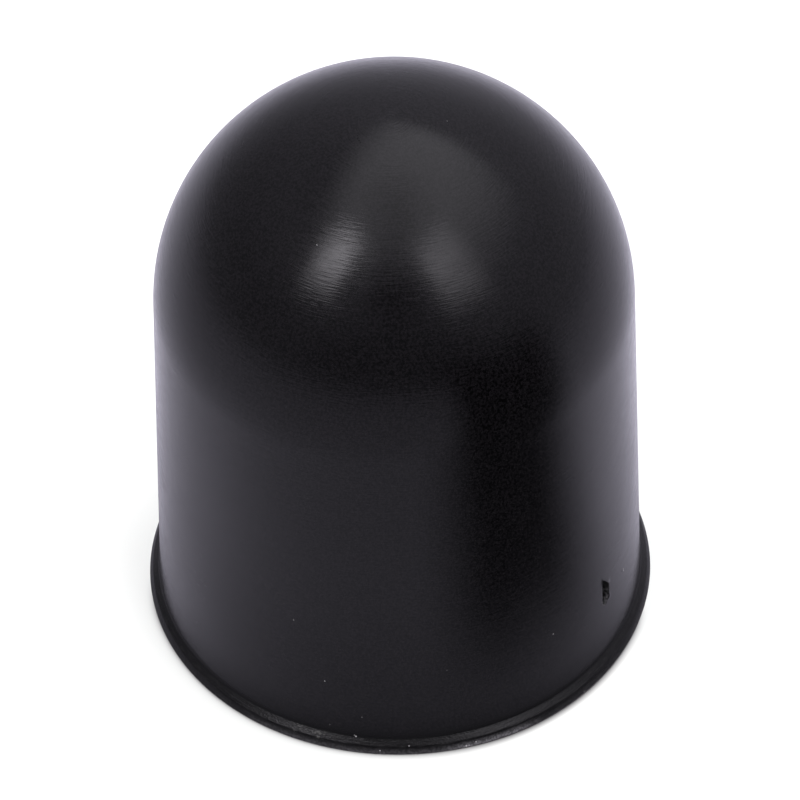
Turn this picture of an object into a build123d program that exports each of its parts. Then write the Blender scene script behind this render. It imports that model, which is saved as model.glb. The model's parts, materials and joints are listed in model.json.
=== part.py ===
from build123d import *
import os
from math import cos, radians, sin, tan

# Tow ball cover: one thin moulded cap, domed at the top and open at the foot.
# It pushes down over the ball, and stands on its beaded rim when it is off the ball.
# Millimetres. +Z runs up the cap's axis from the rim's standing plane, and +X points at the tether slot.

# The ball that the cap fits, and the gap left all round it
ball_diameter = 50.0
ball_clearance = 0.2

# Shell
wall = 1.8
overall_height = 71.0
skirt_draft = 2.3  # degrees that the skirt leans outwards, from the dome down to the rim
seat_length = 12.0  # straight stretch inside, where the widest part of the ball is held

# Rim: an upright foot and a lip that slopes up to the skirt, with a round bead between them and a hollow root
rim_height = 1.0  # where the foot and the lip would meet without the bead
lip_reach = 1.27  # how far the foot stands out from the skirt
lip_slope = 20.0  # degrees
bead_round = 0.7
root_round = 0.25

# Upright slot through one side of the skirt, for a tether
slot_width = 1.4
slot_length = 4.25
slot_corner = 0.3
slot_height = 11.2  # from the rim's standing plane to the slot's middle

# Sizes that follow from those above
draft = radians(skirt_draft)
seat_radius = ball_diameter / 2 + ball_clearance
dome_radius = seat_radius + wall
dome_centre = overall_height - dome_radius
seat_foot = dome_centre - seat_length
root_height = rim_height + lip_reach * tan(radians(lip_slope))

# The skirt leaves the dome at a tangent, so its line follows from the dome and the draft
skirt_top_radius = dome_radius * cos(draft)
skirt_top_height = dome_centre + dome_radius * sin(draft)
skirt_radius_at_foot = skirt_top_radius + skirt_top_height * tan(draft)
skirt_radius_at_root = skirt_radius_at_foot - root_height * tan(draft)
rim_radius = skirt_radius_at_root + lip_reach
mouth_radius = skirt_radius_at_foot - wall

with BuildPart() as ball_cover:
    with BuildSketch(Plane.XZ):
        with BuildLine():
            # Inside, from the seat down the flared lead-in, then across the standing face.
            # The mould parts at this face, so its two corners are sharp.
            lead_in = Polyline((seat_radius, seat_foot), (mouth_radius, 0), (rim_radius, 0))
            # Outside, up the foot, over the bead, in along the lip and up the skirt to the dome
            side = FilletPolyline(
                lead_in @ 1,
                (rim_radius, rim_height),
                (skirt_radius_at_root, root_height),
                (skirt_top_radius, skirt_top_height),
                radius=[bead_round, root_round],
            )
            dome = CenterArc((0, dome_centre), dome_radius, skirt_draft, 90 - skirt_draft)
            crown = Line(dome @ 1, (0, dome_centre + seat_radius))
            # The pocket is concentric with the dome, and runs straight on into the seat
            pocket = CenterArc((0, dome_centre), seat_radius, 90, -90)
            seat = Line(pocket @ 1, lead_in @ 0)
        make_face()
    revolve(axis=Axis.Z)

    with BuildSketch(Plane.YZ):
        with Locations((0, slot_height)):
            RectangleRounded(slot_width, slot_length, slot_corner)
    extrude(amount=rim_radius, mode=Mode.SUBTRACT)

ball_cover.part.label = "ball_cover"

os.makedirs("parts", exist_ok=True)
export_step(ball_cover.part, "parts/ball_cover.step")
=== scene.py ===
import json
from math import cos, pi, radians, sin, tan

import bpy
import numpy as np
from mathutils import Matrix, Vector


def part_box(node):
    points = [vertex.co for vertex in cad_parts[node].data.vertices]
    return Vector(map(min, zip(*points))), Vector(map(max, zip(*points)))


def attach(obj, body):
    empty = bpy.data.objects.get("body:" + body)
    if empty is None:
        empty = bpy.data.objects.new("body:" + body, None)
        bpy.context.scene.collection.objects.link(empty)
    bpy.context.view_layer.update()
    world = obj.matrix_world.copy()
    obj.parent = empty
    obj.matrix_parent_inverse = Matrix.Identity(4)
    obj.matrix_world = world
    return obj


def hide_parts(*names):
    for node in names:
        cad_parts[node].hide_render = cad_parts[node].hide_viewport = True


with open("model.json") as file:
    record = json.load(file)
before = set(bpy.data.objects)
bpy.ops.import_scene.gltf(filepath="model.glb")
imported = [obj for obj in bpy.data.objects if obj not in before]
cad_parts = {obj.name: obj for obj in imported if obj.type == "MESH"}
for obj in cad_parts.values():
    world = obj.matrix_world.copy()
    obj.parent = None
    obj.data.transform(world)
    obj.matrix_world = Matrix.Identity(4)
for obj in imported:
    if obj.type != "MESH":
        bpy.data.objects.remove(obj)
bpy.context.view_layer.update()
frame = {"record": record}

# Tow ball cover: the moulded shell and its semi-matte black finish, on a pale floor under soft light.
# Metres, in the cap's own frame: +Z up the axis from the standing plane, +X through the tether slot.

mm = 0.001

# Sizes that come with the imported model
mounts = {mount["name"]: mount for mount in frame["record"]["mounts"]}
ball_seat = mounts["ball_seat"]
seat_radius = ball_seat["dims"]["r_mm"] * mm
seat_length = ball_seat["dims"]["length_mm"] * mm
seat_middle = ball_seat["pos_m"][2]
overall_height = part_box("ball_cover")[1][2]
rim_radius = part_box("ball_cover")[1][0]

# The seat runs straight on into the pocket, which is concentric with the dome
seat_foot = seat_middle - seat_length / 2
dome_centre = seat_middle + seat_length / 2
dome_radius = overall_height - dome_centre
wall = dome_radius - seat_radius

# Shell, as moulded
skirt_draft = radians(2.3)
flare_top = 5.0 * mm  # below this height the skirt flares outwards
foot_flare = 0.25 * mm  # what the flare would come to at the standing plane
foot_slope = radians(62)  # the foot leans in as it goes up, so the rim is widest at its standing face
rim_height = 0.92 * mm  # where the foot and the lip would meet without the bead between them
root_height = 1.54 * mm  # where the lip would meet the skirt without the hollow root
bead_round = 0.5 * mm
root_round = 0.3 * mm
parting_edge = 0.12 * mm  # wear on the two corners of the standing face

# Flash that the mould left at the foot, on the slot's -Y side
flash_angle = radians(-24)
flash_spread = radians(10)
flash_reach = 0.08 * mm
flash_end = 0.02  # the flash runs out where it is down to this share
flash_level = 0.6  # middle of its ragged line, as a share of its reach
flash_waves = ((0.25, 41, 0), (0.2, 67, 1), (0.15, 103, 2))  # height, count round the rim, phase
flash_rings = 6  # rings of the foot's edge that stand out with the flash

# Tether slot through the skirt at +X
slot_width = 1.4 * mm
slot_length = 4.25 * mm
slot_height = 11.2 * mm
slot_edge = 0.1 * mm  # round on its edge
slot_squareness = 12  # power of the curve round the slot: 2 would make it an ellipse
torn_top = 0.42 * mm  # the tear at its top runs on past the moulded end by this much

# Straight tears across three of its corners: slope, end (1 is the top), reach from the slot's middle
torn_corners = (
    (1.26, 1, 1.67 * mm),
    (1.37, -1, 2.04 * mm),
    (-1.47, -1, 2.47 * mm),
)
slot_tatter = 0.05 * mm  # how ragged the edge is
tatter_waves = ((0.45, 3, 0.6), (0.35, 7, 2.1), (0.3, 12, 4.0))  # height, count round the slot, phase

# Ridge pushed up round the slot
burr_height = 0.12 * mm
burr_place = 0.93  # share of the way from the window's edge to the slot's
burr_width = 0.07
burr_peaks = ((1.0, 1.4, 0.5), (0.8, -1.1, 0.2))  # share of the height, direction, spread in radians

# Mesh: a finer window round the slot, given by half its width and half its height
slot_window = (2.4 * mm, 4.0 * mm)
window_columns = 32
window_rows = 24
plain_columns = 288

# Points along the other stretches of the section
points_in = {
    "dome": 64,
    "skirt above slot": 36,
    "skirt below slot": 14,
    "root": 6,
    "lip": 5,
    "bead": 8,
    "foot": 4,
    "foot edge": 8,
    "standing face": 5,
    "mouth edge": 3,
    "lead-in below slot": 7,
    "lead-in above slot": 14,
    "seat": 6,
    "pocket": 34,
}

# Loops of the mesh through the slot: shares of the way over the skirt, turns round the edge, shares of
# the way through the wall, and shares of the way back over the lead-in
skirt_shares = (0.22, 0.4, 0.55, 0.67, 0.77, 0.85, 0.91, 0.96, 1.0)
edge_turns = (pi / 6, pi / 3, pi / 2)
wall_shares = (0.3, 0.55, 0.8, 1.0)
lead_in_shares = (0.75, 0.5, 0.25)

# The photograph's viewpoint: the camera stands left of the slot and looks down on the dome
view_azimuth = radians(33.4)
view_elevation = radians(45.611)
view_distance = 459 * mm
view_roll = radians(-1.2306)
view_aside = 0.4115 * mm
view_height = 27.588 * mm
focal_length = 179.385
sensor_width = 36.0
nearest_seen = 0.01
farthest_seen = 100.0


def skirt_radius(height):
    """Outer radius of the skirt: the straight line that leaves the dome at a tangent and leans out by
    the draft."""
    return (dome_radius + (dome_centre - height) * sin(skirt_draft)) / cos(skirt_draft)


mouth_radius = skirt_radius(0.0) - wall


def flared_skirt(height):
    """Outer radius of the skirt's last stretch: the straight skirt's, and a flare that grows as the
    square of the drop below the flare's top."""
    drop = np.clip((flare_top - height) / flare_top, 0, 1)
    return skirt_radius(height) + foot_flare * drop**2


def lead_in_radius(height):
    """Inner radius below the seat: a straight line from the mouth up to the foot of the seat."""
    return mouth_radius + (seat_radius - mouth_radius) * height / seat_foot


def straight(start, end, count):
    """Points from start up to, but without, end, evenly spaced."""
    share = np.arange(count)[:, None] / count
    return np.array(start) * (1 - share) + np.array(end) * share


def on_arc(centre, radius, angle):
    """The point at an angle round a centre."""
    return (centre[0] + radius * cos(angle), centre[1] + radius * sin(angle))


def arc(centre, radius, first, last, count):
    """Points round a centre from the first angle up to, but without, the last, evenly spaced."""
    angle = first + (last - first) * np.arange(count) / count
    return np.stack([centre[0] + radius * np.cos(angle), centre[1] + radius * np.sin(angle)], axis=1)


def rounded_corner(corner, before, after, radius, count):
    """A corner between two straight stretches, rounded: the points of an arc that touches both, from the
    way to the point before up to, but without, the way to the point after, and the place where it ends.
    The arc's centre lies between the two ways, at the radius over the sine of half their angle."""
    corner = np.array(corner)
    ways = np.array([before, after]) - corner
    ways /= np.linalg.norm(ways, axis=1, keepdims=True)
    half = np.arccos(ways[0] @ ways[1]) / 2
    inwards = ways.sum(axis=0)
    centre = corner + inwards / np.linalg.norm(inwards) * radius / sin(half)
    ends = corner + ways * radius / tan(half) - centre
    first, last = np.arctan2(ends[:, 1], ends[:, 0])
    swing = (last - first + pi) % (2 * pi) - pi
    return arc(centre, radius, first, first + swing, count), centre + ends[1]


def bell(value, middle, spread):
    """A bell curve: 1 at the middle, and falling off to both sides within about twice the spread."""
    return np.exp(-(((value - middle) / spread) ** 2))


def ragged(turn, waves):
    """A sum of sines of an angle, each with its height, count and phase."""
    return sum(height * np.sin(count * turn + phase) for height, count, phase in waves)


def shell_section():
    """The closed section as stretches of (radius, height) points, from the top of the dome down the
    outside, across the standing face and up the inside. Each stretch ends where the next begins."""
    window_top = slot_height + slot_window[1]
    window_foot = slot_height - slot_window[1]
    skirt_top = on_arc((0, dome_centre), dome_radius, skirt_draft)
    above_slot = (skirt_radius(window_top), window_top)
    below_slot = (skirt_radius(window_foot), window_foot)
    inside_above = (lead_in_radius(window_top), window_top)
    inside_below = (lead_in_radius(window_foot), window_foot)
    inside_foot = (lead_in_radius(parting_edge), parting_edge)
    outer_edge = (rim_radius - parting_edge, parting_edge)
    inner_edge = (mouth_radius + parting_edge, parting_edge)

    # From its worn edge the foot leans in to the bead, and the lip runs on up to the hollow root
    foot_facing = pi / 2 - foot_slope
    foot_end = on_arc(outer_edge, parting_edge, foot_facing)
    rim_corner = (foot_end[0] - (rim_height - foot_end[1]) / tan(foot_slope), rim_height)
    root_corner = (flared_skirt(root_height), root_height)
    above_root = (flared_skirt(root_height + root_round), root_height + root_round)
    root, lip_top = rounded_corner(root_corner, above_root, rim_corner, root_round, points_in["root"])
    bead, foot_top = rounded_corner(rim_corner, root_corner, foot_end, bead_round, points_in["bead"])
    last_skirt = np.linspace(window_foot, root[0, 1], points_in["skirt below slot"], endpoint=False)
    return {
        "dome": arc((0, dome_centre), dome_radius, pi / 2, skirt_draft, points_in["dome"]),
        "skirt above slot": straight(skirt_top, above_slot, points_in["skirt above slot"]),
        "skirt by slot": straight(above_slot, below_slot, window_rows),
        "skirt below slot": np.stack([flared_skirt(last_skirt), last_skirt], axis=1),
        "root": root,
        "lip": straight(lip_top, bead[0], points_in["lip"]),
        "bead": bead,
        "foot": straight(foot_top, foot_end, points_in["foot"]),
        "foot edge": arc(outer_edge, parting_edge, foot_facing, -pi / 2, points_in["foot edge"]),
        "standing face": straight((outer_edge[0], 0), (inner_edge[0], 0), points_in["standing face"]),
        "mouth edge": arc(inner_edge, parting_edge, -pi / 2, -pi, points_in["mouth edge"]),
        "lead-in below slot": straight(inside_foot, inside_below, points_in["lead-in below slot"]),
        "lead-in by slot": straight(inside_below, inside_above, window_rows),
        "lead-in above slot": straight(
            inside_above, (seat_radius, seat_foot), points_in["lead-in above slot"]
        ),
        "seat": straight((seat_radius, seat_foot), (seat_radius, dome_centre), points_in["seat"]),
        "pocket": arc((0, dome_centre), seat_radius, 0, pi / 2, points_in["pocket"]),
    }


def ring_angles():
    """Angles of the columns: fine ones either side of the slot at angle 0, then plain ones round the
    rest."""
    half = slot_window[0] / skirt_radius(slot_height)
    fine = np.linspace(-half, half, window_columns + 1)
    plain = np.linspace(half, 2 * pi - half, plain_columns + 1)[1:-1]
    return np.concatenate([fine, plain])


def window_loop(rows, columns):
    """Grid places round the edge of the slot's window, counter-clockwise seen from outside.
    rows runs from the window's foot to its top, columns from its -Y side to its +Y side."""
    foot = np.stack([np.full(len(columns) - 1, rows[0]), columns[:-1]], axis=1)
    right = np.stack([rows[:-1], np.full(len(rows) - 1, columns[-1])], axis=1)
    top = np.stack([np.full(len(columns) - 1, rows[-1]), columns[:0:-1]], axis=1)
    left = np.stack([rows[:0:-1], np.full(len(rows) - 1, columns[0])], axis=1)
    return np.concatenate([foot, right, top, left])


def parting_flash(angles):
    """How far the flash stands out at the foot: a bell curve of the angle, highest a little before the
    slot on its -Y side, times a ragged line."""
    from_slot = (angles + pi) % (2 * pi) - pi
    share = np.maximum(bell(from_slot, flash_angle, flash_spread) - flash_end, 0)
    return flash_reach * share * (flash_level + ragged(angles, flash_waves))


def slot_outline(loop, grown, tatter):
    """The slot's edge as (y, z) points, one on the way from the slot's middle to each point of the
    window's loop. Its distance from the middle is that of a squared-off ellipse, cut across by the
    straight tears, then grown outwards and made ragged along the loop."""
    middle = np.array([0, slot_height])
    away = loop - middle
    away /= np.linalg.norm(away, axis=1, keepdims=True)
    sides = np.abs(away[:, 0]) / (slot_width / 2)
    ends = np.maximum(away[:, 1] / (slot_length / 2 + torn_top), -away[:, 1] / (slot_length / 2))
    nearness = sides**slot_squareness + ends**slot_squareness
    for slope, end, corner_reach in torn_corners:
        across = np.maximum(end * away[:, 1] + slope * away[:, 0], 0) / corner_reach
        nearness += across**slot_squareness
    reach = nearness ** (-1 / slot_squareness)
    turn = 2 * pi * np.arange(len(loop)) / len(loop)
    return middle + away * (reach + grown + tatter * ragged(turn, tatter_waves))[:, None]


def slot_burr(loop, share):
    """Height of the ridge round the slot, highest along its torn top and at the foot of its +Y side: a
    bell curve of the share of the way from the window to the slot's edge, times those of the direction."""
    direction = np.arctan2(loop[:, 1] - slot_height, loop[:, 0])
    peaks = sum(height * bell(direction, middle, spread) for height, middle, spread in burr_peaks)
    return burr_height * peaks * bell(share, burr_place, burr_width)


def slot_strip(outer_loop, inner_loop):
    """Points of the wall round the slot as a grid of loops, each with one point for each point of the
    window's edge: in over the skirt to the slot's rounded edge, through the wall, and out over the
    lead-in. A point's x follows from its y and z, because it lies on the skirt, on the lead-in or a share
    of the way between them. The second list says how far each loop is on the slot's cut face."""
    outer = outer_loop[:, 1:]
    inner = inner_loop[:, 1:]
    edge = slot_outline(outer, slot_edge, slot_tatter)
    throat = slot_outline(outer, 0.0, slot_tatter)
    way_out = slot_outline(outer, 0.0, slot_tatter / 2)

    def on_skirt(place):
        return np.sqrt(skirt_radius(place[:, 1]) ** 2 - place[:, 0] ** 2)

    def on_lead_in(place):
        return np.sqrt(lead_in_radius(place[:, 1]) ** 2 - place[:, 0] ** 2)

    loops = []
    cut = []
    for share in skirt_shares:
        place = outer * (1 - share) + edge * share
        loops.append(np.column_stack([on_skirt(place) + slot_burr(outer, share), place]))
        cut.append(0.0)
    for turn in edge_turns:
        place = throat + (edge - throat) * (1 - sin(turn))
        loops.append(np.column_stack([on_skirt(place) - slot_edge * (1 - cos(turn)), place]))
        cut.append(sin(turn))
    for share in wall_shares:
        place = throat * (1 - share) + way_out * share
        x = on_skirt(place) - slot_edge
        loops.append(np.column_stack([x + (on_lead_in(place) - x) * share, place]))
        cut.append(1 - share)
    for share in lead_in_shares:
        place = inner * (1 - share) + way_out * share
        loops.append(np.column_stack([on_lead_in(place), place]))
        cut.append(0.0)
    return np.array(loops), np.array(cut)


def cap_mesh(points, quads, triangles, attributes):
    """A smooth mesh of the points that have a face, with its attributes at those points."""
    used, corners = np.unique(np.concatenate([quads.ravel(), triangles.ravel()]), return_inverse=True)
    sizes = np.concatenate([np.full(len(quads), 4), np.full(len(triangles), 3)])
    starts = np.cumsum(sizes) - sizes
    mesh = bpy.data.meshes.new("cap_shell")
    mesh.vertices.add(len(used))
    mesh.vertices.foreach_set("co", points[used].ravel())
    mesh.loops.add(len(corners))
    mesh.loops.foreach_set("vertex_index", corners)
    mesh.polygons.add(len(sizes))
    mesh.polygons.foreach_set("loop_start", starts)
    mesh.polygons.foreach_set("loop_total", sizes)
    mesh.polygons.foreach_set("use_smooth", np.ones(len(sizes), dtype=bool))
    mesh.update(calc_edges=True)
    for name, values in attributes.items():
        mesh.attributes.new(name, "FLOAT", "POINT").data.foreach_set("value", values[used])
    return mesh


def moulded_shell():
    """The whole cap: its section carried round the axis, closed at the two poles, with the slot's strip
    let into the skirt. Every point keeps its distance along the section, which the turned lines of the
    finish follow. The distances at the start of the root and of the standing face come with the shell."""
    stretches = shell_section()
    crown = dome_centre + seat_radius
    section = np.concatenate(list(stretches.values()) + [[[0, crown]]])
    starts = np.cumsum([0] + [len(points) for points in stretches.values()])
    start_of = dict(zip(stretches, starts))
    steps = np.linalg.norm(np.diff(section, axis=0), axis=1)
    distance = np.concatenate([[0], np.cumsum(steps)])

    # The poles are single points, and every other point of the section is a ring
    angles = ring_angles()
    columns = len(angles)
    rings = section[1:-1]
    count = len(rings)
    first_flash = start_of["foot edge"] - 1
    flashed = np.zeros((count, 1))
    flashed[first_flash:first_flash + flash_rings] = 1
    radius = rings[:, :1] + flashed * parting_flash(angles)
    height = np.repeat(rings[:, 1:], columns, axis=1)
    grid = np.stack([radius * np.cos(angles), radius * np.sin(angles), height], axis=-1)
    index = np.arange(count * columns).reshape(count, columns) + 1
    last = count * columns + 1

    def window(name):
        first = start_of[name] - 1
        return np.arange(first, first + window_rows + 1)

    skirt_rows = window("skirt by slot")
    lead_in_rows = window("lead-in by slot")
    window_places = np.arange(window_columns + 1)
    outer = tuple(window_loop(skirt_rows[::-1], window_places).T)
    inner = tuple(window_loop(lead_in_rows, window_places).T)
    strip, cut = slot_strip(grid[outer], grid[inner])
    loops, around = strip.shape[:2]
    strip_index = np.arange(loops * around).reshape(loops, around) + last + 1
    strip_index = np.concatenate([index[outer][None], strip_index, index[inner][None]])
    points = np.concatenate([
        [[0, 0, overall_height]],
        grid.reshape(-1, 3),
        [[0, 0, crown]],
        strip.reshape(-1, 3),
    ])

    heights_up = section[skirt_rows + 1][::-1, 1]
    along_strip = np.interp(strip[..., 2], heights_up, distance[skirt_rows + 1][::-1])
    along_rings = np.repeat(distance[1:-1], columns)
    attributes = {
        "turned": np.concatenate([[0], along_rings, distance[-1:], along_strip.ravel()]),
        "cut": np.concatenate([np.zeros(last + 1), np.repeat(cut, around)]),
    }

    # Faces of the rings, but for the slot's two windows, then of its strip, and triangles at the poles
    following = np.roll(index, -1, axis=1)
    quads = np.stack([index[:-1], index[1:], following[1:], following[:-1]], axis=-1)
    in_window = np.zeros(quads.shape[:2], dtype=bool)
    for rows in (skirt_rows, lead_in_rows):
        in_window[rows[:-1], :window_columns] = True
    strip_next = np.roll(strip_index, -1, axis=1)
    strip_quads = np.stack([strip_index[:-1], strip_next[:-1], strip_next[1:], strip_index[1:]], axis=-1)
    quads = np.concatenate([quads[~in_window], strip_quads.reshape(-1, 4)])
    top_fan = np.stack([np.zeros(columns, dtype=int), index[0], following[0]], axis=-1)
    crown_fan = np.stack([index[-1], np.full(columns, last), following[-1]], axis=-1)
    triangles = np.concatenate([top_fan, crown_fan])

    shell = bpy.data.objects.new("cap_shell", cap_mesh(points, quads, triangles, attributes))
    bpy.context.collection.objects.link(shell)
    return shell, distance[start_of["root"]], distance[start_of["standing face"]]


class Nodes:
    """A node tree, with short calls for the nodes that the finishes and the surroundings are made of."""

    def __init__(self, tree):
        self.tree = tree

    def node(self, kind, **settings):
        made = self.tree.nodes.new("ShaderNode" + kind)
        for key, value in settings.items():
            setattr(made, key, value)
        return made

    def join(self, source, socket):
        if isinstance(source, bpy.types.NodeSocket):
            self.tree.links.new(source, socket)
        else:
            socket.default_value = source

    def math(self, operation, *sources):
        made = self.node("Math", operation=operation)
        for source, socket in zip(sources, made.inputs):
            self.join(source, socket)
        return made.outputs[0]

    def distance(self, first, second):
        made = self.node("VectorMath", operation="DISTANCE")
        self.join(first, made.inputs[0])
        self.join(second, made.inputs[1])
        return made.outputs["Value"]

    def scaled(self, colour, strength):
        made = self.node("VectorMath", operation="SCALE")
        self.join(colour, made.inputs[0])
        self.join(strength, made.inputs["Scale"])
        return made.outputs["Vector"]

    def parts(self, vector):
        made = self.node("SeparateXYZ")
        self.join(vector, made.inputs[0])
        return made.outputs

    def whole(self, *parts):
        made = self.node("CombineXYZ")
        for source, socket in zip(parts, made.inputs):
            self.join(source, socket)
        return made.outputs["Vector"]

    def from_view(self, vector):
        """A vector turned about the axis, so that +X is the camera's right and -Y is towards it."""
        made = self.node("VectorRotate", rotation_type="Z_AXIS")
        self.join(vector, made.inputs["Vector"])
        made.inputs["Angle"].default_value = -view_azimuth
        return made.outputs["Vector"]

    def azimuth(self, aside, away):
        """Angle round the axis from the camera's direction, to its right."""
        return self.math("ARCTAN2", aside, self.math("MULTIPLY", away, -1.0))

    def noise(self, place, scale, detail, roughness=0.5):
        made = self.node("TexNoise")
        self.join(place, made.inputs["Vector"])
        made.inputs["Scale"].default_value = scale
        made.inputs["Detail"].default_value = detail
        made.inputs["Roughness"].default_value = roughness
        return made.outputs["Fac"]

    def rise(self, value, low, high, bottom=0.0, top=1.0):
        """A smooth step from bottom to top as the value goes from low to high, which may be the smaller
        of the two."""
        made = self.node("MapRange", interpolation_type="SMOOTHSTEP")
        self.join(value, made.inputs["Value"])
        made.inputs["From Min"].default_value = low
        made.inputs["From Max"].default_value = high
        made.inputs["To Min"].default_value = bottom
        made.inputs["To Max"].default_value = top
        return made.outputs["Result"]

    def product(self, *values):
        result = values[0]
        for value in values[1:]:
            result = self.math("MULTIPLY", result, value)
        return result

    def rest(self, share):
        """What a share leaves of 1."""
        return self.math("SUBTRACT", 1.0, share)

    def off(self, value, middle):
        """How far a value is from a middle, to either side."""
        return self.math("ABSOLUTE", self.math("SUBTRACT", value, middle))

    def blend(self, share, first, second):
        made = self.node("Mix", data_type="RGBA")
        colour_inputs = [socket for socket in made.inputs if socket.type == "RGBA"]
        self.join(share, made.inputs["Factor"])
        self.join(first, colour_inputs[0])
        self.join(second, colour_inputs[1])
        return next(socket for socket in made.outputs if socket.type == "RGBA")

    def bump(self, height, distance, below=None):
        made = self.node("Bump")
        made.inputs["Distance"].default_value = distance
        self.join(height, made.inputs["Height"])
        if below is not None:
            self.join(below, made.inputs["Normal"])
        return made.outputs["Normal"]


def new_finish(name):
    """A material with its nodes and its main shader."""
    material = bpy.data.materials.new(name)
    material.use_nodes = True
    return material, Nodes(material.node_tree), material.node_tree.nodes["Principled BSDF"]


def on_shell(angle, height, radius):
    """A point at an angle in degrees from the slot, at a height and radius in millimetres."""
    turn = radians(angle)
    return (radius * mm * cos(turn), radius * mm * sin(turn), height * mm)


# Patterns of the finish. Turned lines have a size across the rings of the section and one along them.
streak_size = (0.16 * mm, 1.6 * mm)
streak_detail = 1.5
hairline_size = (0.3 * mm, 5 * mm)
hairline_detail = 2.0
line_roughness = 0.6
wave_size = 11 * mm
wave_detail = 2.0
grain_size = 0.28 * mm
grain_detail = 1.0
patch_size = 6 * mm
patch_detail = 3.0
patch_roughness = 0.6

# Depth of its relief
wave_depth = 0.025 * mm
hairline_depth = 0.009 * mm
streak_depth = 0.017 * mm
grain_depth = 0.014 * mm
grain_shares = (0.15, 2.0)  # of the grain's depth, on the skirt and on the lip
pit_depth = 0.12 * mm

# Its gloss: the patches' range and the roughness at both ends of it, and what the rest adds to that
patch_gloss = (0.3, 0.7, 0.17, 0.21)
streak_gloss = 0.3
streak_middle = 0.5  # streaks above this are rougher, and those below it glossier
lip_dulling = 0.14
wear_dulling = 0.2
cut_dulling = 0.4
pit_dulling = 0.5
dust_dulling = 0.6
plastic_ior = 1.25

# Its colours. Grain carries the moulded black and the slot's cut face from one tone to the other, and
# streaks carry the rubbed lip. The cut face also carries painted shade that darkens it towards its top.
moulded_black = ((0.0001, 0.0001, 0.0001, 1), (0.0036, 0.0031, 0.0036, 1))
cut_face = ((0.002, 0.002, 0.002, 1), (0.09, 0.088, 0.09, 1))
rubbed_lip = ((0.0006, 0.0006, 0.0005, 1), (0.009, 0.009, 0.0081, 1))
# Painted shade: the hollow of the root is darkened where the lip shades it.
root_painted_shade_black = (0.0008, 0.0008, 0.0007, 1)
scuff_grey = (0.04, 0.04, 0.036, 1)
# Pale grey of the foot's edge: wear, and a painted reflection of the floor.
foot_wear_and_reflection_grey = (0.13, 0.127, 0.13, 1)
pit_black = (0.0003, 0.0003, 0.0003, 1)
dust_grey = (0.45, 0.44, 0.43, 1)
mottle_range = (0.3, 0.7)  # of the grain
rubbed_range = (0.48, 0.75)  # of the streaks
rubbed_share = 0.6
# Painted light and shade on the slot's cut face: darker above the first height, paler below the second.
cut_painted_light_range = (11.9 * mm, 10.2 * mm, 0.05, 1.0)  # heights in the slot between which it pales downwards

# Smooth steps along the section, measured from the start of the root
lip_fade = (-0.5 * mm, 0.0)
dull_fade = (-0.7 * mm, -0.1 * mm)
root_painted_shade_fades = ((-1.5 * mm, -0.2 * mm), (0.6 * mm, 0.25 * mm))
scuff_fades = ((0.0, 0.2 * mm), (1.3 * mm, 1.0 * mm))

# Smooth steps along the section, measured from the start of the standing face
foot_fade = (0.1 * mm, -0.3 * mm)
foot_wear_and_reflection_fades = ((-1.0 * mm, -0.12 * mm), (0.2 * mm, 0.1 * mm))

# Specks of dust: angle from the slot, height, distance from the axis, half the width, how much it covers
dust_specks = (
    (-82.1, 18.5, 28.02, 0.10, 0.6),
    (-74.7, 9.8, 28.37, 0.10, 0.75),
    (-67.9, 1.65, 28.91, 0.12, 0.45),
    (-67.5, 1.55, 28.94, 0.13, 0.55),
    (-73.7, 2.64, 28.77, 0.10, 0.15),
    (-66.1, 4.7, 28.56, 0.12, 0.15),
    (-61.9, 0.47, 29.83, 0.11, 0.5),
    (-55.4, 0.98, 29.53, 0.11, 0.4),
    (-46.3, 12.2, 28.27, 0.10, 0.12),
    (-42.7, 0.25, 29.95, 0.14, 0.6),
    (-42.1, 0.25, 29.95, 0.10, 0.4),
    (-40.4, 0.43, 29.85, 0.10, 0.5),
    (-11.8, 0.18, 29.98, 0.12, 0.4),
    (-18.9, 11.8, 28.29, 0.10, 0.5),
    (-86.4, 65.6, 16.15, 0.07, 0.85),
    (33.3, 70.3, 6.11, 0.06, 0.22),
    (9.5, 10.2, 28.35, 0.1, 1.0),
    (9.5, 10.5, 28.34, 0.1, 1.0),
)

# Dull pits, given in the same way: a nick by the slot and a short curved scratch near the dome's top
dull_pits = (
    (8.5, 10.6, 28.33, 0.14, 0.8),
    (-110.8, 70.65, 4.36, 0.12, 0.6),
    (-107.0, 70.63, 4.48, 0.12, 0.8),
    (-103.1, 70.60, 4.63, 0.12, 0.8),
    (-99.5, 70.57, 4.78, 0.11, 0.6),
)
spot_tatter = 0.1  # millimetres that the grain moves the edge of a speck or a pit
spot_core = 0.5  # share of its width that it covers in full

# A scuffed patch on the lip: angle from the slot, height, distance from the axis, half its length
lip_scuff = (-78.5, 1.35, 29.12, 3.0)
scuff_core = 0.4
scuff_streaks = (0.42, 0.62)
scuff_grain = (0.45, 0.62)

# Stretches of the foot's edge paled by wear and by a painted reflection of the floor: angle from the slot,
# half angles where it is full and where it ends, strength
foot_wear_and_reflection_stretches = (
    (-37, 5, 15, 0.9),
    (-68, 15, 36, 0.35),
    (19, 6, 16, 0.3),
)
least_foot_wear_and_reflection = 0.1
foot_wear_and_reflection_grain = (0.35, 0.65, 0.4, 1.0)


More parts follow.
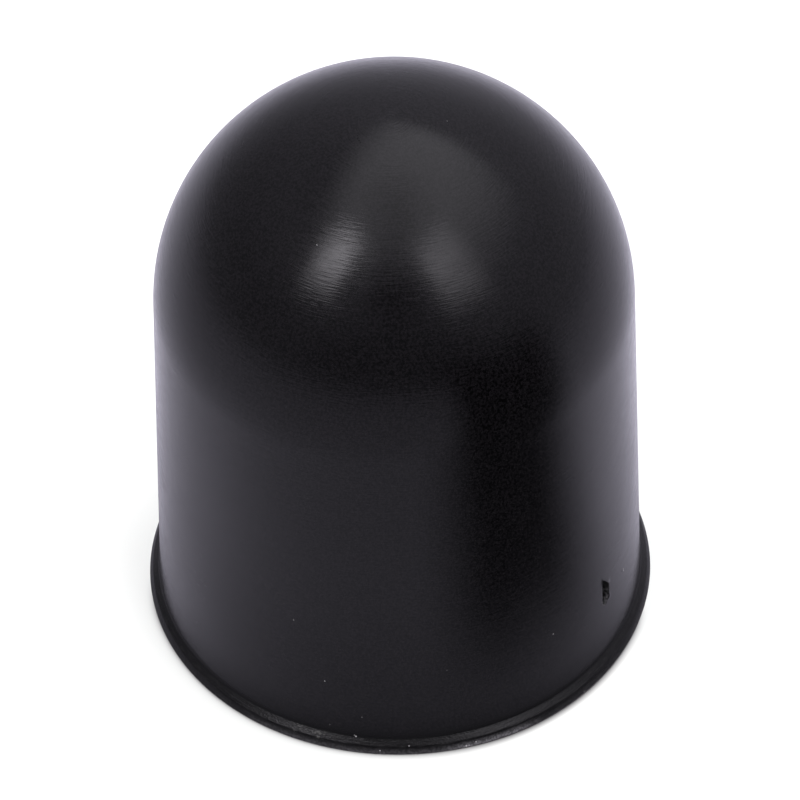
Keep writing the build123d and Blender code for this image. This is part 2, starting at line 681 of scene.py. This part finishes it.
def black_plastic(root_start, standing_start):
    """Semi-matte moulded black: short streaks and hairlines that follow the rings of the section, a faint
    waviness, a fine grain, patchy gloss, a duller rubbed lip, painted shade in the hollow of the root,
    the paler cut face of the slot with painted shade towards its top, a scuff, a foot edge paled by
    rubbing and by a painted reflection of the floor, a few pits and a few specks of dust. The two
    distances along the section say where the root and the standing face start."""
    material, nodes, shader = new_finish("black_plastic")
    place = nodes.node("TexCoord").outputs["Object"]
    turned = nodes.node("Attribute", attribute_name="turned").outputs["Fac"]
    cut = nodes.node("Attribute", attribute_name="cut").outputs["Fac"]
    across = nodes.parts(place)

    def lines(size, detail):
        """Noise that is stretched along the rings of the section."""
        apart, long = size
        x = nodes.math("MULTIPLY", across["X"], 1 / long)
        y = nodes.math("MULTIPLY", across["Y"], 1 / long)
        stretched = nodes.whole(x, y, nodes.math("MULTIPLY", turned, 1 / apart))
        return nodes.noise(stretched, 1.0, detail, line_roughness)

    def along(start, fade):
        """A smooth step along the section, between two distances from a start."""
        return nodes.rise(turned, start + fade[0], start + fade[1])

    streaks = lines(streak_size, streak_detail)
    hairlines = lines(hairline_size, hairline_detail)
    waves = nodes.noise(place, 1 / wave_size, wave_detail)
    grain = nodes.noise(place, 1 / grain_size, grain_detail)
    patches = nodes.noise(place, 1 / patch_size, patch_detail, patch_roughness)
    above_foot = along(standing_start, foot_fade)
    lip = nodes.product(along(root_start, lip_fade), above_foot)
    dull = nodes.product(along(root_start, dull_fade), above_foot)
    # Where the painted shade of the root's hollow lies along the section.
    root_painted_shade = nodes.product(*[along(root_start, fade) for fade in root_painted_shade_fades])

    def spots(places):
        """Where the spots of a list are, each fading out at a grainy edge."""
        covered = 0.0
        for angle, height, radius, half, strength in places:
            gap = nodes.distance(place, on_shell(angle, height, radius))
            gap = nodes.math("MULTIPLY_ADD", grain, spot_tatter * mm, gap)
            edge = (half + spot_tatter / 2) * mm
            core = (half * spot_core + spot_tatter / 2) * mm
            covered = nodes.math("MAXIMUM", covered, nodes.rise(gap, edge, core, 0.0, strength))
        return covered

    dust = spots(dust_specks)
    pits = spots(dull_pits)
    angle, height, radius, half = lip_scuff
    from_scuff = nodes.distance(place, on_shell(angle, height, radius))
    scuff = nodes.product(
        nodes.rise(from_scuff, half * mm, half * scuff_core * mm),
        nodes.rise(streaks, *scuff_streaks),
        nodes.rise(grain, *scuff_grain),
        *[along(root_start, fade) for fade in scuff_fades],
    )

    turn = nodes.math("ARCTAN2", across["Y"], across["X"])
    foot_wear_and_reflection_strength = least_foot_wear_and_reflection
    for middle, full, end, strength in foot_wear_and_reflection_stretches:
        stretch = nodes.rise(nodes.off(turn, radians(middle)), radians(end), radians(full), 0.0, strength)
        foot_wear_and_reflection_strength = nodes.math("MAXIMUM", foot_wear_and_reflection_strength, stretch)
    # The foot's edge, paled by wear and by a painted reflection of the floor.
    foot_wear_and_reflection = nodes.product(
        *[along(standing_start, fade) for fade in foot_wear_and_reflection_fades],
        foot_wear_and_reflection_strength,
        nodes.rise(grain, *foot_wear_and_reflection_grain),
    )

    surface = nodes.bump(waves, wave_depth)
    surface = nodes.bump(hairlines, hairline_depth, surface)
    surface = nodes.bump(streaks, streak_depth, surface)
    grain_relief = nodes.product(grain, nodes.rise(lip, 0.0, 1.0, *grain_shares))
    surface = nodes.bump(grain_relief, grain_depth, surface)
    surface = nodes.bump(nodes.rest(pits), pit_depth, surface)
    nodes.join(surface, shader.inputs["Normal"])

    mottle = nodes.rise(grain, *mottle_range)
    rubbed = nodes.blend(nodes.rise(streaks, *rubbed_range), *rubbed_lip)
    # Painted shade: the cut face darkens towards the top of the slot, and grain mottles it.
    cut_painted_light = nodes.product(mottle, nodes.rise(across["Z"], *cut_painted_light_range))
    colour = nodes.blend(mottle, *moulded_black)
    for covered, finish in (
        (nodes.product(lip, rubbed_share), rubbed),
        (root_painted_shade, root_painted_shade_black),
        (cut, nodes.blend(cut_painted_light, *cut_face)),
        (scuff, scuff_grey),
        (foot_wear_and_reflection, foot_wear_and_reflection_grey),
        (pits, pit_black),
        (dust, dust_grey),
    ):
        colour = nodes.blend(covered, colour, finish)
    nodes.join(colour, shader.inputs["Base Color"])

    gloss = nodes.rise(patches, *patch_gloss)
    for dulled, dulling in (
        (nodes.math("SUBTRACT", streaks, streak_middle), streak_gloss),
        (dull, lip_dulling),
        (foot_wear_and_reflection, wear_dulling),
        (cut, cut_dulling),
        (pits, pit_dulling),
        (dust, dust_dulling),
    ):
        gloss = nodes.math("MULTIPLY_ADD", dulled, dulling, gloss)
    nodes.join(gloss, shader.inputs["Roughness"])
    shader.inputs["IOR"].default_value = plastic_ior
    return material


def in_view(aside, away, height):
    """A point given from the camera's side: aside to its right, away from it, and height above the
    floor."""
    return Matrix.Rotation(view_azimuth, 4, "Z") @ Vector((aside, away, height))


def towards(azimuth, elevation, distance):
    """A point at an azimuth to the camera's right of it and at an elevation, seen from the middle of the
    cap."""
    turn = radians(azimuth)
    tilt = radians(elevation)
    flat = distance * cos(tilt)
    return in_view(flat * sin(turn), -flat * cos(turn), distance * sin(tilt) + overall_height / 2)


lamp_distance = 0.8
lamp_layers = ((1.45, 0.22), (1.15, 0.3), (0.85, 0.28), (0.5, 0.2))  # each panel's size and share of light
layer_gap = 0.012
lamp_tint = (1.0, 0.965, 1.03)


def soft_lamp(name, azimuth, elevation, width, height, radiance, lean, crisp, drop):
    """A lamp with soft edges: panels of falling size, each a little nearer to the cap than the one behind
    it. On the crisp side, 1 for the camera's right and -1 for its left, the panels' edges come together,
    and so do their top edges where the larger panels drop by their full share, 1."""
    middle = Vector((0, 0, overall_height / 2))
    for layer, (size, share) in enumerate(lamp_layers):
        place = towards(azimuth, elevation, lamp_distance - layer * layer_gap)
        facing = (middle - place).to_track_quat("-Z", "Y").to_matrix().to_4x4()
        turned = facing @ Matrix.Rotation(radians(lean), 4, "Z")
        smaller = (1 - size) / 2
        shift = turned @ Vector((crisp * width * smaller, drop * height * smaller, 0))
        data = bpy.data.lights.new(f"{name}_{layer}", "AREA")
        data.shape = "RECTANGLE"
        data.size = width * size
        data.size_y = height * size
        data.energy = pi * radiance * share * data.size * data.size_y
        data.color = lamp_tint
        lamp = bpy.data.objects.new(f"{name}_{layer}", data)
        lamp.matrix_world = Matrix.Translation(place + shift) @ turned
        lamp.visible_camera = False
        bpy.context.collection.objects.link(lamp)


def lamps():
    """Two lamps, left and right of the camera: the left one small and bright, the right one larger and
    dimmer."""
    soft_lamp(
        "left_lamp", azimuth=-48.5, elevation=55.8, width=0.165, height=0.3,
        radiance=13.6, lean=4, crisp=0.6, drop=0.8,
    )
    soft_lamp(
        "right_lamp", azimuth=40.6, elevation=52.2, width=0.245, height=0.36,
        radiance=4.6, lean=2, crisp=-0.8, drop=0.4,
    )


floor_half = 5.0
floor_drop = 0.03 * mm  # the pale floor lies this far under the standing face
mirrored_drop = 0.01 * mm  # the mirrored floor lies above the pale one


def flat_sheet(name, height, material):
    """A level square sheet round the axis, as two rows of two points."""
    side = np.array([-floor_half, floor_half])
    x, y = np.meshgrid(side, side)
    corners = np.stack([x, y, np.full_like(x, height)], axis=-1).reshape(-1, 3)
    mesh = bpy.data.meshes.new(name)
    mesh.from_pydata(corners.tolist(), [], [(0, 1, 3, 2)])
    mesh.materials.append(material)
    made = bpy.data.objects.new(name, mesh)
    bpy.context.collection.objects.link(made)
    return made


# The pale floor's tones, and the shadow painted into its colour round the foot. Azimuths are to the
# camera's right.
floor_white = ((0.79, 0.815, 0.74, 1), (0.81, 0.835, 0.76, 1))
floor_shade = (0.05, 0.045, 0.047, 1)
tone_scale = 40.0
tone_detail = 2.0
# Painted shadow round the foot: how far it reaches and how strong it is.
contact_reach = 0.3 * mm
contact_strength = 0.65
lifted_middle = radians(36)  # the rim is a little lifted here, and its shade reaches farther
lifted_spread = (radians(44), radians(4))
lifted_reach = (1.1 * mm, 0.2 * mm)
lifted_strength = 0.42
shade_right_end = (radians(76), radians(66))
shade_left_end = (radians(-88), radians(-74))


def pale_floor():
    """A wide matte white floor just under the standing face, with a shadow painted into its colour round
    the foot. The painted shadow falls off exponentially from the foot, reaches farther where the rim is a
    little lifted, and ends at both sides."""
    material, nodes, shader = new_finish("pale_floor")
    place = nodes.node("TexCoord").outputs["Object"]
    tone = nodes.noise(place, tone_scale, tone_detail)
    aside, away, _ = nodes.parts(nodes.from_view(place))
    azimuth = nodes.azimuth(aside, away)
    gap = nodes.math("SUBTRACT", nodes.distance(place, (0, 0, 0)), rim_radius)
    contact = nodes.math("EXPONENT", nodes.math("MULTIPLY", gap, -1 / contact_reach))
    lifted = nodes.product(
        nodes.rise(nodes.off(azimuth, lifted_middle), *lifted_spread),
        nodes.rise(gap, *lifted_reach),
    )
    # Painted shadow, mixed into the floor's colour below.
    shade = nodes.product(contact, contact_strength)
    shade = nodes.product(
        nodes.math("MULTIPLY_ADD", lifted, lifted_strength, shade),
        nodes.rise(azimuth, *shade_right_end),
        nodes.rise(azimuth, *shade_left_end),
    )
    colour = nodes.blend(shade, nodes.blend(tone, *floor_white), floor_shade)
    nodes.join(colour, shader.inputs["Base Color"])
    shader.inputs["Roughness"].default_value = 1.0
    shader.inputs["Specular IOR Level"].default_value = 0.0
    floor = flat_sheet("pale_floor", -floor_drop, material)
    floor.visible_glossy = False


# A dark patch painted into the mirrored floor's glow. Its sides lie at azimuths that change from near the
# cap to far off, and so do the half angles over which they fade.
dark_patch_left_reach = (60 * mm, 130 * mm)
dark_patch_left = (radians(18.5), radians(24))
dark_patch_left_fade = (radians(16), radians(6))
dark_patch_right_reach = (60 * mm, 110 * mm)
dark_patch_right = (radians(69), radians(70.5))
dark_patch_right_fade = (radians(17), radians(9))
dark_patch_near = (26 * mm, 53 * mm)
dark_patch_darkness = 0.93

# Light of the mirrored floor, painted into its glow, as smooth steps: where each starts and ends, and its
# two strengths. The steps by the cap and by the foot are painted shade. Aside and behind are shares of the
# way from the axis.
glow_tint = (1.0, 0.96, 1.14)
glow_front = radians(35)
glow_round = (radians(25), radians(150), 0.95, 1.2)
glow_painted_shade_by_cap = (rim_radius, rim_radius + 28 * mm, 0.68, 1.0)
glow_painted_shade_by_foot = (rim_radius, rim_radius + 5 * mm, 0.7, 1.0)
glow_far = (0.12, 0.9, 1.0, 0.66)
glow_aside_right = (0.5, 0.95, 1.0, 1.1)
glow_behind = (0.6, 0.98, 1.0, 0.9)
dim_left_aside = (0.0, -0.6)
dim_left_behind = (-0.4, 0.1)
dim_left_strength = 0.145


def mirrored_floor():
    """The floor as the cap's gloss sees it: a glowing sheet that paints the reflection of the lit floor,
    with painted shade close round the foot and a dark patch over the quarter on the camera's right. The
    patch's two sides and its near edge are smooth steps, softer near the cap."""
    material = bpy.data.materials.new("mirrored_floor")
    material.use_nodes = True
    material.node_tree.nodes.clear()
    nodes = Nodes(material.node_tree)
    x, y, _ = nodes.parts(nodes.from_view(nodes.node("TexCoord").outputs["Object"]))
    reach = nodes.distance(nodes.whole(x, y, 0.0), (0, 0, 0))
    azimuth = nodes.azimuth(x, y)
    aside = nodes.math("DIVIDE", x, reach)
    behind = nodes.math("DIVIDE", y, reach)

    left_edge = nodes.rise(reach, *dark_patch_left_reach, *dark_patch_left)
    left_fade = nodes.rise(reach, *dark_patch_left_reach, *dark_patch_left_fade)
    right_edge = nodes.rise(reach, *dark_patch_right_reach, *dark_patch_right)
    right_fade = nodes.rise(reach, *dark_patch_right_reach, *dark_patch_right_fade)
    past_left = nodes.math("DIVIDE", nodes.math("SUBTRACT", azimuth, left_edge), left_fade)
    before_right = nodes.math("DIVIDE", nodes.math("SUBTRACT", right_edge, azimuth), right_fade)
    dark_patch = nodes.product(
        nodes.rise(past_left, -1.0, 1.0),
        nodes.rise(before_right, -1.0, 1.0),
        nodes.rise(reach, *dark_patch_near),
        dark_patch_darkness,
    )
    dim_left = nodes.product(
        nodes.rise(aside, *dim_left_aside),
        nodes.rise(behind, *dim_left_behind),
        dim_left_strength,
    )
    # The glow paints the lit floor's reflection, with painted shade by the cap and by the foot.
    light = nodes.product(
        nodes.rise(nodes.off(azimuth, glow_front), *glow_round),
        nodes.rise(reach, *glow_painted_shade_by_cap),
        nodes.rise(reach, *glow_painted_shade_by_foot),
        nodes.rest(dim_left),
        nodes.rise(aside, *glow_aside_right),
        nodes.rise(behind, *glow_behind),
        nodes.rise(reach, *glow_far),
        nodes.rest(dark_patch),
    )
    glow = nodes.node("Emission")
    nodes.join(nodes.scaled(glow_tint, light), glow.inputs["Color"])
    nodes.join(glow.outputs["Emission"], nodes.node("OutputMaterial").inputs["Surface"])
    sheet = flat_sheet("mirrored_floor", -mirrored_drop, material)
    sheet.visible_camera = False
    sheet.visible_diffuse = False
    sheet.visible_shadow = False
    sheet.visible_transmission = False
    sheet.visible_volume_scatter = False


# The ceiling's edges in the plane overhead, in heights above the cap: to the right, and away from the
# camera. Its left edge and its far edge slant.
lowest_up = 0.05  # directions flatter than this meet the plane overhead as if they rose this much
ceiling_left = (-0.68, -0.22)
ceiling_left_slant = -0.45
ceiling_right = (1.6, 0.1)
ceiling_far = (1.1, 0.85)
ceiling_far_slant = 0.35
ceiling_near = (-1.05, 0.2)
ceiling_horizon = (0.0, 0.1)
ceiling_light = (0.0, 0.4, 2.35, 3.55)
ceiling_light_right = (0.1, 0.5, 1.0, 1.1)
ceiling_tint = (1.0, 0.98, 1.06)

# The room's light, as smooth steps over a direction's parts: right, away and up
room_tint = (1.0, 0.97, 1.12)
room_right_share = 0.85
room_away_share = 0.5
room_light = (-0.4, 0.8, 0.48, 0.82)
room_by_camera = (-0.65, -0.95, 1.0, 0.65)
room_overhead = (0.25, 0.75, 0.0, 0.35)

# A dark screen that stands low in the room on the camera's right
screen_left = (radians(8), radians(28))
screen_right = (radians(76), radians(60))
screen_top = (0.26, 0.05)
screen_darkness = 0.75

# Shade of the camera on what is behind it
camera_shade_tilt = radians(45)
camera_shade = (0.04, 0.34, 0.3, 1.0)


def surroundings():
    """A grey room under a soft bright ceiling. The ceiling is a rectangle in the plane overhead, with
    smooth steps for edges: its far edge is the sharpest and its left edge slants. The room is brighter on
    the right and behind the cap, and darkest behind the camera, which shades the patch of the room that
    it covers."""
    world = bpy.data.worlds.new("surroundings")
    world.use_nodes = True
    bpy.context.scene.world = world
    nodes = Nodes(world.node_tree)
    direction = nodes.from_view(nodes.node("TexCoord").outputs["Generated"])
    right, away, up = nodes.parts(direction)
    height = nodes.math("MAXIMUM", up, lowest_up)
    aside = nodes.math("DIVIDE", right, height)
    back = nodes.math("DIVIDE", away, height)
    behind = nodes.math("MAXIMUM", back, 0.0)
    ceiling = nodes.product(
        nodes.rise(nodes.math("MULTIPLY_ADD", behind, ceiling_left_slant, aside), *ceiling_left),
        nodes.rise(aside, *ceiling_right),
        nodes.rise(nodes.math("MULTIPLY_ADD", aside, ceiling_far_slant, back), *ceiling_far),
        nodes.rise(back, *ceiling_near),
        nodes.rise(up, *ceiling_horizon),
    )
    from_middle = nodes.distance(nodes.whole(aside, behind, 0.0), (0, 0, 0))
    brightness = nodes.product(
        nodes.rise(from_middle, *ceiling_light),
        nodes.rise(aside, *ceiling_light_right),
    )

    side = nodes.math("MULTIPLY", right, room_right_share)
    side = nodes.math("MULTIPLY_ADD", away, room_away_share, side)
    room = nodes.product(nodes.rise(side, *room_light), nodes.rise(away, *room_by_camera))
    room = nodes.math("ADD", room, nodes.rise(up, *room_overhead))
    azimuth = nodes.azimuth(right, away)
    screen = nodes.product(
        nodes.rise(azimuth, *screen_left),
        nodes.rise(azimuth, *screen_right),
        nodes.rise(up, *screen_top),
        screen_darkness,
    )
    room = nodes.product(room, nodes.rest(screen))

    light = nodes.blend(ceiling, nodes.scaled(room_tint, room), nodes.scaled(ceiling_tint, brightness))
    camera_side = (0, -cos(camera_shade_tilt), sin(camera_shade_tilt))
    light = nodes.scaled(light, nodes.rise(nodes.distance(direction, camera_side), *camera_shade))
    nodes.join(light, world.node_tree.nodes["Background"].inputs["Color"])


def viewpoint():
    """The camera at the photograph's viewing angle, with its slight roll."""
    forward = Vector((0, cos(view_elevation), -sin(view_elevation)))
    right = Vector((1, 0, 0))
    up = right.cross(forward)
    place = Vector((view_aside, 0, view_height)) - view_distance * forward
    level = Matrix((right, up, -forward)).transposed().to_4x4()
    data = bpy.data.cameras.new("viewpoint")
    data.sensor_width = sensor_width
    data.lens = focal_length
    data.clip_start = nearest_seen
    data.clip_end = farthest_seen
    camera = bpy.data.objects.new("viewpoint", data)
    turn = Matrix.Rotation(view_azimuth, 4, "Z")
    camera.matrix_world = turn @ Matrix.Translation(place) @ level @ Matrix.Rotation(view_roll, 4, "Z")
    bpy.context.collection.objects.link(camera)
    bpy.context.scene.camera = camera


shell, root_start, standing_start = moulded_shell()
shell.data.materials.append(black_plastic(root_start, standing_start))
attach(shell, "root")
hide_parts("ball_cover")

pale_floor()
mirrored_floor()
surroundings()
lamps()
viewpoint()
bpy.context.scene.view_settings.view_transform = "Standard"
